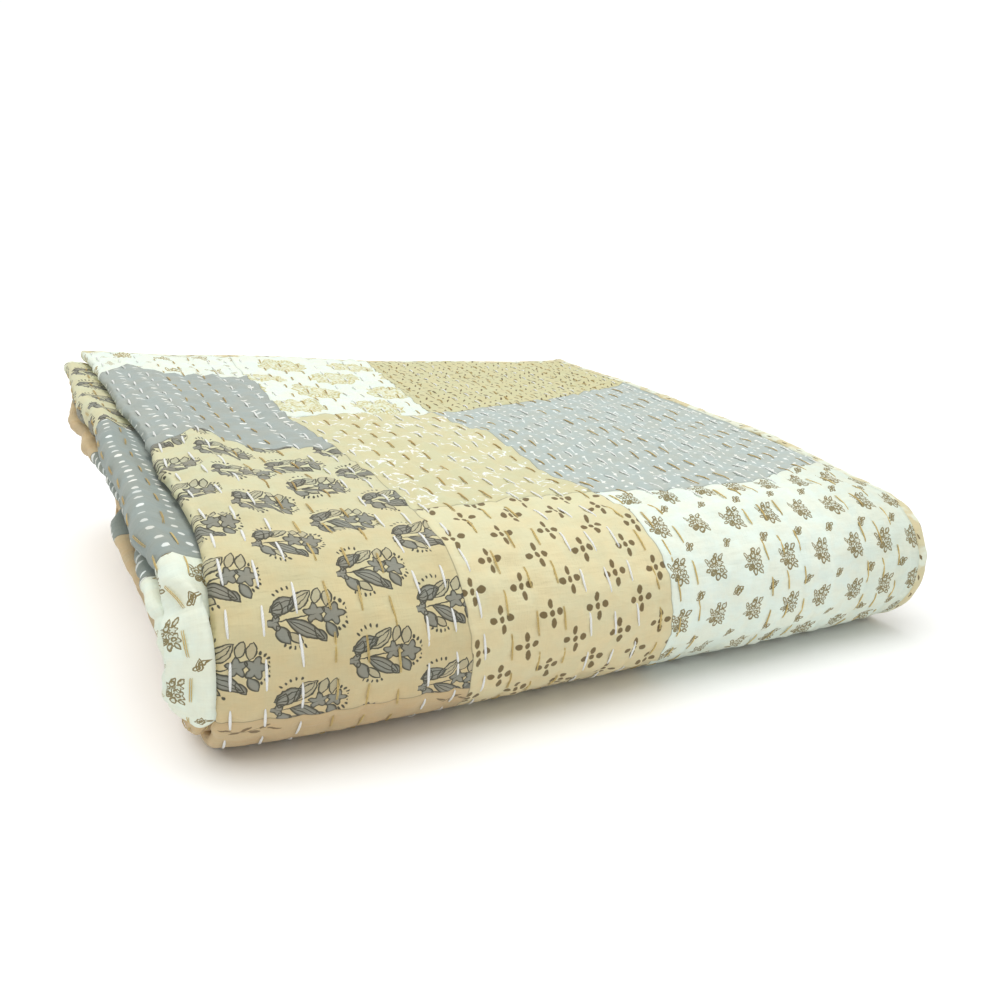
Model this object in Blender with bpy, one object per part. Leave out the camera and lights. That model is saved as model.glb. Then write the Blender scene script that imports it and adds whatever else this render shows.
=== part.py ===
# A quilted throw, folded six times across and then in four: one sheet of cloth
# and the four strips that bind its edges. Metres, +Z up, resting on Z = 0.
# The origin is under the middle of the folded stack.
import math
from collections import namedtuple

import bpy
import numpy as np

# Driving dimensions
CLOTH = 0.0024          # thickness of the stitched cloth
PITCH = 0.0036          # one layer's middle to the next, within a pass
LAYERS = 6              # layers in a pass, from folding the length across
PASS_GAP = 0.0024       # clear gap between two passes
WIDTH = 0.377           # left fold of the top layer to the bound edge at the right
DEPTH = 0.384           # front of the nose to the back
BINDING = 0.0077        # width of the strip that binds each edge
SEAT = 0.0003           # gap between a binding and the cloth it is sewn to

# Height of the settled stack at its four corners
FRONT_LEFT = 0.091
FRONT_RIGHT = 0.081
BACK_LEFT = 0.120
BACK_RIGHT = 0.100
SETTLE_FROM = 0.006     # below this height the cloth lies flat, unsettled
SIDE_CURVE = 1.5        # how quickly the height falls from left to right
BACK_CURVE = 0.7        # and how early it rises from the front to the back

# The front line of the stack, which leans back towards the left
LEAN = 0.004
CORNER_LEAN = 0.008
CORNER_REACH = 0.025

# A soft ridge along the top, beside the left fold
RIDGE = 0.006
RIDGE_X = 0.026
RIDGE_REACH = 0.014
RIDGE_Y = 0.175
RIDGE_LENGTH = 0.120

# The lowest layers step in from the left, most of all at the back
STEP_IN = 0.010

# Turns
FOLD_RADIUS = PITCH / 2         # middle of the cloth in a plain fold
EDGE_DROOP = 0.0034             # how far the free edge sinks past the folds under it
EDGE_OVERHANG = 0.015           # how far it reaches past them
BACK_INSET = 0.006              # free end inside the stack, short of the back

BUNDLE = (LAYERS - 1) * PITCH + CLOTH
STACK = 4 * BUNDLE + 3 * PASS_GAP
TURN_GAP = PASS_GAP / 2         # innermost radius of the turns at front and back

# Where the flats of every layer are divided
FLAT_STEPS = (0.003, RIDGE_X, 0.052, 0.190, WIDTH - EDGE_OVERHANG)

# The two rolled folds that reach past the top layer's left edge, tight and full:
# the middle of the cloth's own ring, with x and depth measured from the top left fold
Ring = namedtuple("Ring", "centre depth half_width half_height")
MIDDLE_ROLL = {
    "tight": Ring(-0.0030, 0.0102, 0.0018, 0.0018),
    "full": Ring(-0.0126, 0.0076, 0.0062, 0.0054),
}
LOWER_ROLL = {
    "tight": Ring(-0.0062, 0.0174, 0.0018, 0.0018),
    "full": Ring(-0.0196, 0.0184, 0.0018, 0.0018),
}
NECK = 0.35             # where a roll's neck lies, as a share of the way to its centre
ROLL_STEPS = 6
FOLD_STEPS = 4

# The path of the cloth from its top free end to its inner one: for each stretch, its
# steps, and how full the rolls are and how far the free edge droops at its far end
Stretch = namedtuple("Stretch", "name steps roll droop")
PATH = (
    Stretch("top back", 3, 1.00, 1.0),
    Stretch("top front", 2, 0.85, 1.0),
    Stretch("nose", 10, 0.15, 0.3),
    Stretch("bottom", 3, 0.15, 0.0),
    Stretch("back turn", 6, 0.00, 0.0),
    Stretch("inner bottom", 3, 0.00, 0.0),
    Stretch("inner nose", 6, 0.10, 0.0),
    Stretch("inner top", 3, 0.35, 0.0),
)
BACK_ROLL = 0.40        # fullness of the rolls at the back of the top
NOSE_KEEPS = 0.42       # share of the nose down which the rolls stay full
MID_TOP = 0.190         # where the top's back and front stretches meet


def layer_depth(layer):
    return CLOTH / 2 + layer * PITCH


def fold_points(ring, side, steps):
    """Points round a fold, from its upper layer to its lower; side is -1 at the left."""
    turn = np.linspace(-math.pi / 2, math.pi / 2, steps + 1)
    x = ring.centre + side * ring.half_width * np.cos(turn)
    return np.stack([x, ring.depth + ring.half_height * np.sin(turn)], axis=1)


def plain_fold(x, upper_layer, side):
    depth = (layer_depth(upper_layer) + layer_depth(upper_layer + 1)) / 2
    return fold_points(Ring(x, depth, FOLD_RADIUS, FOLD_RADIUS), side, FOLD_STEPS)


def flat_points(layer, leftward):
    steps = FLAT_STEPS[::-1] if leftward else FLAT_STEPS
    return np.array([(x, layer_depth(layer)) for x in steps])


def left_roll(ring, upper_layer, steps):
    """A rolled fold with a neck on each side that eases it into its two layers."""
    points = fold_points(ring, -1, steps)
    neck_x = ring.centre * NECK
    above = (neck_x, (layer_depth(upper_layer) + points[0, 1]) / 2)
    below = (neck_x, (layer_depth(upper_layer + 1) + points[-1, 1]) / 2)
    return np.vstack([above, points, below])


def edge_points(x, layer, outward):
    """The bound edge: its end, the binding's inner line, and the cloth's own edge."""
    steps = [(x, 0), (x - BINDING, 0), (x - BINDING - SEAT, 0)]
    points = np.array(steps) + [0, layer_depth(layer)]
    return points[::-1] if outward else points


def section(kind):
    """The cloth's middle line across a pass, as x and depth below its outer face."""
    left, right = FLAT_STEPS[0], FLAT_STEPS[-1]
    return np.vstack([
        edge_points(WIDTH, 0, False),
        flat_points(0, True)[:-1],
        plain_fold(left, 0, -1),
        flat_points(1, False)[1:-1],
        plain_fold(right, 1, 1),
        flat_points(2, True)[1:],
        left_roll(MIDDLE_ROLL[kind], 2, ROLL_STEPS),
        flat_points(3, False)[:-1],
        plain_fold(right, 3, 1),
        flat_points(4, True)[1:],
        left_roll(LOWER_ROLL[kind], 4, FOLD_STEPS),
        flat_points(5, False)[:-1],
        edge_points(WIDTH - BACK_INSET, LAYERS - 1, True),
    ])


def droop(x, depth):
    """How far a point of the top layer sinks, past the folds under it."""
    past = np.clip((x - FLAT_STEPS[-1]) / EDGE_OVERHANG, 0, 1)
    return np.where(depth < PITCH, EDGE_DROOP * past ** 2 * (3 - 2 * past), 0)


def path_stations():
    """Stations along the path: y, z and inward direction of the outer face, roll, droop."""
    radius = STACK / 2
    back = DEPTH - BUNDLE - TURN_GAP
    centres = {
        "nose": (radius, radius, radius, 90, 270, -1),
        "back turn": (back, BUNDLE + TURN_GAP, BUNDLE + TURN_GAP, -90, 90, -1),
        "inner nose": (radius, radius, TURN_GAP, 270, 90, 1),
    }
    ends = {
        "top back": (DEPTH - BINDING - SEAT, MID_TOP, STACK, -1),
        "top front": (MID_TOP, radius, STACK, -1),
        "bottom": (radius, back, 0, 1),
        "inner bottom": (back, radius, radius - TURN_GAP, -1),
        "inner top": (radius, DEPTH - BACK_INSET - BINDING - SEAT, radius + TURN_GAP, 1),
    }
    free = DEPTH - BACK_INSET
    rows = [(DEPTH, STACK, 0, -1), (DEPTH - BINDING, STACK, 0, -1)]
    fullness = [(BACK_ROLL, 1.0), (BACK_ROLL, 1.0)]
    last = fullness[0]
    for stretch in PATH:
        part = np.linspace(0, 1, stretch.steps + 1)
        if stretch.name in centres:
            cy, cz, r, first, final, inward = centres[stretch.name]
            angle = np.radians(first + (final - first) * part)
            away = np.stack([np.cos(angle), np.sin(angle)], axis=1)
            new = np.hstack([np.array([cy, cz]) + r * away, inward * away])
        else:
            first, final, z, inward = ends[stretch.name]
            y = first + (final - first) * part
            new = np.stack([y, y * 0 + z, y * 0, y * 0 + inward], axis=1)
        ease = part
        if stretch.name == "nose":
            ease = np.clip((part - NOSE_KEEPS) / (1 - NOSE_KEEPS), 0, 1)
        rolls = last[0] + (stretch.roll - last[0]) * ease
        sinks = last[1] + (stretch.droop - last[1]) * part
        skip = 0 if stretch is PATH[0] else 1
        rows += [tuple(row) for row in new[skip:]]
        fullness += list(zip(rolls[skip:], sinks[skip:]))
        last = (stretch.roll, stretch.droop)
    z = radius + TURN_GAP
    rows += [(free - BINDING, z, 0, 1), (free, z, 0, 1)]
    fullness += [last, last]
    return np.array(rows), np.array(fullness)


def bell(value, middle, reach):
    return np.exp(-(((value - middle) / reach) ** 2))


def settle(points):
    """Slope and ridge the top, lean the front line back, step the lowest layers in."""
    x, y, z = points[..., 0], points[..., 1], points[..., 2]
    across = np.clip(1 - x / WIDTH, 0, 1)
    side = across ** SIDE_CURVE
    back = np.clip((y - STACK / 2) / (DEPTH - STACK / 2), 0, 1) ** BACK_CURVE
    front_top = FRONT_RIGHT + (FRONT_LEFT - FRONT_RIGHT) * side
    back_top = BACK_RIGHT + (BACK_LEFT - BACK_RIGHT) * side
    top = front_top + (back_top - front_top) * back
    top += RIDGE * bell(x, RIDGE_X, RIDGE_REACH) * bell(y, RIDGE_Y, RIDGE_LENGTH)
    height = np.clip((z - SETTLE_FROM) / (STACK - SETTLE_FROM), 0, 1)
    lean = CORNER_LEAN * np.exp(-np.maximum(x, 0) / CORNER_REACH) + LEAN * across ** 2
    along = np.clip(y / DEPTH, 0, 1)
    step = STEP_IN * (1 - z / STACK) * along * (1 - x / WIDTH)
    return np.stack([x + step, y + lean * (1 - along) ** 2, z + (top - STACK) * height], axis=-1)


def mitred_normals(line):
    """Normals of an open line whose offset keeps the cloth's thickness at each bend."""
    step = np.diff(line, axis=0)
    step /= np.linalg.norm(step, axis=1, keepdims=True)
    across = np.stack([step[:, 1], -step[:, 0]], axis=1)
    before = np.vstack([across[:1], across])
    after = np.vstack([across, across[-1:]])
    mean = before + after
    return 2 * mean / np.sum(mean * mean, axis=1, keepdims=True)


def cloth_faces():
    """Both faces of the whole cloth: arrays of points, by face, station and section point."""
    tight, full = section("tight"), section("full")
    rows, fullness = path_stations()
    faces = np.zeros((2, len(rows), len(tight), 3))
    for i, ((y, z, in_y, in_z), (roll, sink)) in enumerate(zip(rows, fullness)):
        line = tight + (full - tight) * roll
        line[:, 1] += sink * droop(line[:, 0], line[:, 1])
        normals = mitred_normals(line) * CLOTH / 2
        for j, side in enumerate((1, -1)):
            x, depth = (line + side * normals).T
            faces[j, i] = np.stack([x, y + in_y * depth, z + in_z * depth], axis=1)
    return settle(faces)


def make_piece(name, faces, colour):
    """A closed solid between the two faces of a patch of the cloth."""
    _, count_v, count_u, _ = faces.shape
    index = np.arange(2 * count_v * count_u).reshape(2, count_v, count_u)
    upper, lower = index
    # Each quad splits along the same diagonal as the layers above and below it
    rightward = faces[0, 0, 1:, 0] > faces[0, 0, :-1, 0]
    quads = []
    for sheet, flip in ((upper, True), (lower, False)):
        corners = [sheet[:-1, :-1], sheet[:-1, 1:], sheet[1:, 1:], sheet[1:, :-1]]
        order = np.stack(corners, axis=-1)
        order = np.where(rightward[None, :, None], np.roll(order, 1, axis=-1), order)
        order = order[..., [0, 3, 2, 1]] if flip else order
        quads += order.reshape(-1, 4).tolist()
    rim = np.concatenate([
        np.stack([upper[0], lower[0]], axis=1)[::-1],
        np.stack([upper[1:, 0], lower[1:, 0]], axis=1),
        np.stack([upper[-1, 1:], lower[-1, 1:]], axis=1),
        np.stack([upper[-2:0:-1, -1], lower[-2:0:-1, -1]], axis=1),
    ])
    for first, second in zip(rim, np.roll(rim, -1, axis=0)):
        quads.append([int(first[0]), int(first[1]), int(second[1]), int(second[0])])
    mesh = bpy.data.meshes.new(name)
    mesh.from_pydata(faces.reshape(-1, 3).tolist(), [], quads)
    mesh.update()
    piece = bpy.data.objects.new(name, mesh)
    bpy.context.collection.objects.link(piece)
    mesh.materials.append(make_material(name, colour))
    return piece


def make_material(name, colour):
    material = bpy.data.materials.new(name)
    material.use_nodes = True
    shader = material.node_tree.nodes["Principled BSDF"]
    shader.inputs["Base Color"].default_value = (*colour, 1)
    shader.inputs["Roughness"].default_value = 0.9
    shader.inputs["Metallic"].default_value = 0
    return material


def main():
    for item in list(bpy.data.objects):
        bpy.data.objects.remove(item, do_unlink=True)
    faces = cloth_faces()
    low = faces.min(axis=(0, 1, 2))
    high = faces.max(axis=(0, 1, 2))
    faces -= np.array([(low[0] + high[0]) / 2, (low[1] + high[1]) / 2, 0])
    beige = (0.74, 0.60, 0.38)
    tan = (0.60, 0.46, 0.27)
    inner = slice(2, -2)
    every = slice(None)
    start = slice(0, 2)
    end = slice(-2, None)
    make_piece("quilt", faces[:, inner, inner], beige)
    make_piece("binding_side_outer", faces[:, every, start], tan)
    make_piece("binding_side_inner", faces[:, every, end], tan)
    make_piece("binding_end_outer", faces[:, start, inner], tan)
    make_piece("binding_end_inner", faces[:, end, inner], tan)


main()
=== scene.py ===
import math
from functools import reduce

import bpy
import numpy as np
from mathutils import Matrix, Vector


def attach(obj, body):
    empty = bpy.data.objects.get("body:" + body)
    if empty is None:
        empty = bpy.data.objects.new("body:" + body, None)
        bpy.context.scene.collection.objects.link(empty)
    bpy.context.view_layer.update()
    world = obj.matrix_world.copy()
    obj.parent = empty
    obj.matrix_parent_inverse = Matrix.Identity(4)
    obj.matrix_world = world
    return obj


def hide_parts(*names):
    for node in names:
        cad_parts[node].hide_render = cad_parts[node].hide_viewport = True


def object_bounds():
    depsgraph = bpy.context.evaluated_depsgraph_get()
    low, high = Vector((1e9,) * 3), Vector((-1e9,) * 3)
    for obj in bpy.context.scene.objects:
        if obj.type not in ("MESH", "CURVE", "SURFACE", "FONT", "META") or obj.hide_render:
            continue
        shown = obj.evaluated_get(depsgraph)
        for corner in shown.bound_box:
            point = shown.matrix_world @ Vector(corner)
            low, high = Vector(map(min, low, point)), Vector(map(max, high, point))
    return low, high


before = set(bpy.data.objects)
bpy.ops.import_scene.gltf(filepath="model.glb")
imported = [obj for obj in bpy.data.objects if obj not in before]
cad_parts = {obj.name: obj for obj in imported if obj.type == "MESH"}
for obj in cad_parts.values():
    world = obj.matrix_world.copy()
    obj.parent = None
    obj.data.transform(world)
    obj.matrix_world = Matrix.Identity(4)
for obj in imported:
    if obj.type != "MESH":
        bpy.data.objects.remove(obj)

cadLow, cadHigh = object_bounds()
mm = 0.001

# The cloth is a line across the stack (x, depth under the outer face) carried along a
# path (y, z): x is measured from the top left fold, y from the front of the nose.
fold = {
    "cloth": 0.0024, "pitch": 0.0036, "layers": 6, "passGap": 0.0024,
    "width": 0.377, "depth": 0.384, "binding": 0.0077, "seat": 0.0003,
    "backInset": 0.006, "edgeOverhang": 0.030, "edgeDroop": 0.0032,
    "frontLeft": 0.091, "frontRight": 0.081, "backLeft": 0.120, "backRight": 0.100,
    "settleFrom": 0.006, "sideCurve": 1.5, "backCurve": 0.7,
    "lean": 0.004, "cornerLean": 0.008, "cornerReach": 0.025,
    "ridge": 0.006, "ridgeX": 0.026, "ridgeReach": 0.014, "ridgeY": 0.175, "ridgeLength": 0.120,
    "stepIn": 0.010, "tuckIn": 0.024, "wave": 0.0011,
}
bundle = (fold["layers"] - 1) * fold["pitch"] + fold["cloth"]
stack = 4 * bundle + 3 * fold["passGap"]
noseRadius = stack / 2
backY = fold["depth"] - bundle - fold["passGap"] / 2
origin = np.array([cadHigh.x - fold["width"], cadHigh.y - fold["depth"], 0])
pathSteps = 181

# Rings of the rolled folds at the left: centre x, depth, half width, half height, lean;
# "panel" is the slanted flat front where the two rolls run into one
middleRoll = {"tight": (-3.0, 10.2, 1.8, 1.8, 0), "full": (-12.6, 7.6, 6.6, 5.6, 0),
              "panel": (-8.4, 6.8, 2.6, 5.2, 6.4)}
lowerRoll = {"tight": (-6.2, 17.4, 1.8, 1.8, 0), "full": (-19.6, 18.4, 1.8, 1.8, 0),
             "panel": (-14.8, 16.4, 2.6, 3.2, 1.4)}


def bell(value, middle, reach):
    return np.exp(-(((value - middle) / reach) ** 2))


def smooth(value, low, high):
    t = np.clip((value - low) / (high - low), 0, 1)
    return t * t * (3 - 2 * t)


# Path: straight top, half circle round the nose, straight bottom, half circle at the
# back, then the same way inside; each row is s, y, z and the angle of the inward normal
def makePath():
    gap = fold["passGap"] / 2
    inner = noseRadius
    ends = fold["depth"] - fold["backInset"]
    stretches = [
        ("line", (fold["depth"], stack), (noseRadius, stack), -90, -90),
        ("arc", (noseRadius, noseRadius, noseRadius, 90, 270), None, -90, 90),
        ("line", (noseRadius, 0), (backY, 0), 90, 90),
        ("arc", (backY, bundle + gap, bundle + gap, -90, 90), None, 90, 270),
        ("line", (backY, inner - gap), (noseRadius, inner - gap), 270, 270),
        ("arc", (noseRadius, inner, gap, 270, 90), None, 270, 90),
        ("line", (noseRadius, inner + gap), (ends, inner + gap), 90, 90),
    ]
    rows, marks, length = [], [0.0], 0.0
    for kind, a, b, turnA, turnB in stretches:
        t = np.linspace(0, 1, pathSteps)
        if kind == "line":
            y, z = a[0] + (b[0] - a[0]) * t, a[1] + (b[1] - a[1]) * t
        else:
            angle = np.radians(a[3] + (a[4] - a[3]) * t)
            y, z = a[0] + a[2] * np.cos(angle), a[1] + a[2] * np.sin(angle)
        steps = np.concatenate([[0], np.cumsum(np.hypot(np.diff(y), np.diff(z)))])
        rows.append(np.stack([length + steps, y, z, turnA + (turnB - turnA) * t], axis=1))
        length += steps[-1]
        marks.append(length)
    return np.concatenate(rows), marks


pathRows, pathMarks = makePath()
topEnd, noseEnd, bottomEnd, turnEnd, innerBottomEnd, innerNoseEnd, pathEnd = pathMarks[1:]
# How full the rolls at the left are, and how far the free edge droops, down the path
rollS = [0, 0.194, topEnd, 0.398, 0.420, 0.440, noseEnd, bottomEnd, turnEnd, innerNoseEnd, pathEnd]
rollFull = [0.40, 1.0, 0.85, 0.85, 0.75, 0.08, 0.05, 0.15, 0.0, 0.10, 0.35]
droopS = [0, 0.25, 0.320, 0.350, 0.385, noseEnd, bottomEnd, pathEnd]
droopFull = [0.1, 0.1, 1.7, 1.7, 0.7, 0.3, 0.0, 0.0]


# Lumps of the left folds: s, then how far the fold is pushed left (mm), for the top fold,
# the middle roll and the lower one; a minus sign draws it in. Where the two rolls show,
# their lists are rounded from a fit of their outline, and weren't placed by hand
rollPush = {
    "top": [(0, 2.6), (12, 1.2), (40, -1), (90, -2.5), (160, -2.2), (205, -4.6), (235, -4.8), (262, -1.8),
            (290, -3.8), (335, -4), (362, -2.4), (395, -0.5), (440, 0), (1520, 0)],
    "middle": [(0, 5.4), (12, 4.2), (30, 2.9), (120, 1.6), (150, -3), (190, -4.5), (227, -1.5), (260, -3),
               (290, -2), (325, 1.5), (342, -3), (364, -4), (378, 0), (480, 0), (540, -8), (800, -8),
               (1000, -5), (1150, -2), (1186, 0), (1520, 0)],
    "lower": [(0, 0), (80, 3), (100, 5), (112, 1), (124, -3), (140, -1), (165, -0.5), (185, -4),
              (209, -6.5), (230, -5.5), (251, -7.5), (300, -4.5), (346, -2.2), (386, -0.8), (401, -2.5),
              (440, -1), (480, 1), (540, -8), (700, -8), (865, -6), (1150, -6), (1183, 0), (1195, 8),
              (1218, 11), (1255, 11), (1270, 10.5), (1285, 2.7), (1300, -2.4), (1520, 0)],
}
# Where s runs into the slanted panel and out of it, the depth that parts the two rolls,
# and how far the middle roll sinks near the back
rolls = {"panelIn": (0.364, 0.378), "panelOut": (0.426, 0.442), "parting": (0.0125, 0.0145),
         "sink": 0.002, "sinkS": (0.050, 0.045), "foldReach": (0.002, 0.044)}


# Length run along a line of points, from its first one
def runLength(points):
    return np.concatenate([[0], np.cumsum(np.linalg.norm(np.diff(points, axis=0), axis=1))])


# How far the free edge droops at every s
def droopAt(s):
    return np.interp(s, droopS, droopFull)[:, None] * fold["edgeDroop"]


# Push at every s, eased by averaging over 12 mm
def pushAt(s, which):
    knots = np.array(rollPush[which]) * mm
    return np.mean([np.interp(s + ease * mm, knots[:, 0], knots[:, 1]) for ease in (-6, -3, 0, 3, 6)], axis=0)


# Settled stack: the top slopes, a soft ridge runs beside the left fold, the front line
# leans back at the left, the lowest layers step in, and every layer shares slow waves
def settle(x, y, z):
    across = np.clip(1 - x / fold["width"], 0, 1)
    side = across ** fold["sideCurve"]
    back = np.clip((y - noseRadius) / (fold["depth"] - noseRadius), 0, 1) ** fold["backCurve"]
    frontTop = fold["frontRight"] + (fold["frontLeft"] - fold["frontRight"]) * side
    backTop = fold["backRight"] + (fold["backLeft"] - fold["backRight"]) * side
    top = frontTop + (backTop - frontTop) * back
    ridge = bell(x, fold["ridgeX"], fold["ridgeReach"]) * bell(y, fold["ridgeY"], fold["ridgeLength"])
    top = top + fold["ridge"] * ridge
    ripple = np.sin(x / 0.031 + 1.3 * np.sin(y / 0.055)) * np.sin(y / 0.043 + x / 0.09 + 0.6)
    top = top + fold["wave"] * ripple
    height = np.clip((z - fold["settleFrom"]) / (stack - fold["settleFrom"]), 0, 1)
    lean = fold["cornerLean"] * np.exp(-np.maximum(x, 0) / fold["cornerReach"]) + fold["lean"] * across ** 2
    along = np.clip(y / fold["depth"], 0, 1)
    step = fold["stepIn"] * along + fold["tuckIn"] * smooth(along, 0.72, 1.0)
    step = step * (1 - z / stack) * (1 - x / fold["width"])
    return np.stack([x + step, y + lean * (1 - along) ** 2, z + (top - stack) * height], axis=-1) + origin


# Point of the cloth = path point at s + inward normal x depth, then settled
def place(x, depth, s):
    y = np.interp(s, pathRows[:, 0], pathRows[:, 1])
    z = np.interp(s, pathRows[:, 0], pathRows[:, 2])
    turn = np.radians(np.interp(s, pathRows[:, 0], pathRows[:, 3]))
    return settle(x, y + np.cos(turn) * depth, z + np.sin(turn) * depth)


# Stitch rows run down the cloth; lengthS and lengthShare say how long the stitches are
# down it, and the jitters are how unevenly they are sewn
stitching = {
    "rows": 31, "rowPitch": 0.0119, "cellsPerRow": 4, "period": 0.0205, "stitch": 0.0118,
    "lengthS": [0.16, 0.24, 0.30, 0.36], "lengthShare": [0.78, 0.86, 0.92, 1.09], "firstS": 0.012,
    "endGap": 0.004, "hiddenRun": 0.02, "mustardRows": 3, "frontSeam": 0.329,
    "startJitter": 0.0008, "lengthJitter": 0.12, "sideJitter": 0.00035, "slant": 0.0004,
    # topShade and frontShade are painted shade: stitches over the top darker, those down the front paler
    "shadeS": 0.330, "topShade": 0.55, "frontShade": -0.6, "shadeJitter": 0.45,
}
# Relief of the outer face: the valleys on the stitch rows, its limits, and the soft noises'
# height, cell across and down (mm) and seed
reliefOf = {
    "valley": 0.00140, "valleyReach": 0.0026, "deepest": -0.0017, "highest": 0.0018,
    "rollShare": 0.55, "edgeShare": 0.3,
    "puff": (0.00070, 9, 11, 3), "pucker": (0.00150, 15, 5.6, 5), "wrinkle": (0.00120, 52, 33, 7),
}
patches = {"seamA": 8, "seamB": 16, "rowCells": 0.0030, "foldU": -0.075}
rollRanges = {"roll": (-0.830, -0.690), "lower": (-1.640, -1.430)}  # where u lies on each roll
rightEdge = fold["width"] - fold["binding"] - fold["seat"]
hiddenSteps = np.array([3, 14, 26, 38, 60, 130, 210, 290, 362]) * mm


def layerDepth(layer):
    return fold["cloth"] / 2 + layer * fold["pitch"]


# Half ring from the upper layer to the lower: x = cx + side (a cos(t) + lean sin(t)),
# depth = cz + b sin(t)
def ringPoints(ring, side, steps):
    t = np.linspace(-math.pi / 2, math.pi / 2, steps + 1)
    cx, cz, a, b, lean = (v * mm for v in ring)
    return np.stack([cx + side * (a * np.cos(t) + lean * np.sin(t)), cz + b * np.sin(t)], axis=1)


def plainFold(x, upper, side, steps):
    middle = (layerDepth(upper) + layerDepth(upper + 1)) / 2
    half = fold["pitch"] / 2
    return ringPoints(np.array([x, middle, half, half, 0]) / mm, side, steps)


def rollWithNecks(ring, upper, steps):
    points = ringPoints(ring, -1, steps)
    neckX = ring[0] * mm * 0.35
    above = (neckX, (layerDepth(upper) + points[0, 1]) / 2)
    below = (neckX, (layerDepth(upper + 1) + points[-1, 1]) / 2)
    return np.vstack([above, points, below])


def flatRun(layer, leftward):
    x = hiddenSteps[::-1] if leftward else hiddenSteps
    return np.stack([x, x * 0 + layerDepth(layer)], axis=1)


# The middle line of the cloth, from the bound edge leftward over the top layer and
# then back and forth through the other five
def sectionLine(kind):
    rows = stitching["rows"]
    u = np.linspace(rows * stitching["rowPitch"], 0, rows * stitching["cellsPerRow"] + 1)
    u[0] = rightEdge
    top = np.stack([u[:-1], u[:-1] * 0 + layerDepth(0)], axis=1)
    top = top[top[:, 0] > 2.4 * mm]
    return np.vstack([
        top,
        plainFold(2.4 * mm, 0, -1, 8),
        flatRun(1, False)[:-1],
        plainFold(hiddenSteps[-1], 1, 1, 6),
        flatRun(2, True)[1:],
        rollWithNecks(middleRoll[kind], 2, 14),
        flatRun(3, False)[:-1],
        plainFold(hiddenSteps[-1], 3, 1, 6),
        flatRun(4, True)[1:],
        rollWithNecks(lowerRoll[kind], 4, 8),
        flatRun(5, False)[:-1],
        [(rightEdge - fold["backInset"], layerDepth(5))],
    ]), len(top)


# Normals of an open line in the last two axes, mitred so that the thickness holds
def mitred(line):
    step = np.diff(line, axis=-2)
    step /= np.linalg.norm(step, axis=-1, keepdims=True)
    across = np.stack([step[..., 1], -step[..., 0]], axis=-1)
    before = np.concatenate([across[..., :1, :], across], axis=-2)
    after = np.concatenate([across, across[..., -1:, :]], axis=-2)
    mean = before + after
    return 2 * mean / np.sum(mean * mean, axis=-1, keepdims=True)


# Middle lines and normals for every s, by how full the rolls are there
def sectionAt(s):
    tight, topCount = sectionLine("tight")
    full = sectionLine("full")[0]
    roll = np.interp(s, rollS, rollFull)[:, None, None]
    lines = tight + (full - tight) * roll
    flat = (smooth(s, *rolls["panelIn"]) * (1 - smooth(s, *rolls["panelOut"])))[:, None, None]
    lines = lines + (sectionLine("panel")[0] - lines) * flat
    atFold = smooth(lines[..., 0], -2 * mm, 0) * (1 - smooth(lines[..., 0], *rolls["foldReach"]))
    lines[..., 0] -= pushAt(s, "top")[:, None] * atFold * (lines[..., 1] < 1.5 * fold["pitch"])
    outside = smooth(-lines[..., 0], 0.5 * mm, 12 * mm)
    isLower = smooth(lines[..., 1], *rolls["parting"])
    for which, share in (("middle", 1 - isLower), ("lower", isLower)):
        lines[..., 0] -= pushAt(s, which)[:, None] * share * outside
    lines[..., 1] += rolls["sink"] * (bell(s, *rolls["sinkS"])[:, None] * (1 - isLower) * outside)
    past = smooth(lines[..., 0], fold["width"] - fold["edgeOverhang"], fold["width"])
    share = np.clip((layerDepth(5) - lines[..., 1]) / (layerDepth(5) - layerDepth(0)), 0, 1)
    lines[..., 1] += droopAt(s) * past * share
    return lines, mitred(lines), topCount


# Across seams drift along the cloth and lengthwise seams slant: offsets in mm, eased from measured places on
# the seams
driftS = np.array([0, 75, 170, 210, 250, 300, 350, 400, 450, 500]) * mm
driftA = np.array([0, -5, -9, -5, -3, 1, 3, 6, 9, 9]) * mm
driftB = np.array([8, -4, -12, -2, 0, -2, 10, 13, 17, 17]) * mm
slantU = np.array([0, 12, 22, 32, 44, 92, 190, 230, 283, 369]) * mm
slantS = np.array([0, 75, 172, 236, 329, 430, 479]) * mm
slantRows = np.array([
    (0, 0, 0, 0, 0, 0, 0, 0, 0, 0),
    (0, -16, -30, -12, -3, 0, 0, -6, -12, -30),
    (-3, -9, -14, -16, -7, 5, -3, -15, -28, -70),
    (-4, -9, -14, -21, -10, 8, 0, -4, -8, -30),
    (0, 0, 0, 0, 1, 2, -4, 2, 4, -20),
    (0, 0, 0, 0, 0, 0, 0, 0, 0, -6),
    (0, 0, 0, 0, 0, 0, 0, 0, 0, 0),
]) * mm


# Smooth warp of the nominal grid (u, v) into cloth metres, by interpolation both ways
def warpGrid(u, v, seamA, seamB):
    a = np.interp(v, driftS, driftA)
    b = np.interp(v, driftS, driftB)
    left = a * np.clip(u / seamA, 0, 1)
    middle = a + (b - a) * (u - seamA) / (seamB - seamA)
    right = b * np.clip((rightEdge - u) / (rightEdge - seamB), 0, 1)
    du = np.where(u < seamA, left, np.where(u < seamB, middle, right))
    columns = np.stack([np.interp(np.clip(u[0], 0, 1), slantU, row) for row in slantRows])
    where = np.interp(v[:, 0], slantS, np.arange(len(slantS)))
    low = np.clip(np.floor(where).astype(int), 0, len(slantS) - 2)
    part = (where - low)[:, None]
    dv = columns[low] * (1 - part) + columns[low + 1] * part
    return u + du, v + dv


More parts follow.
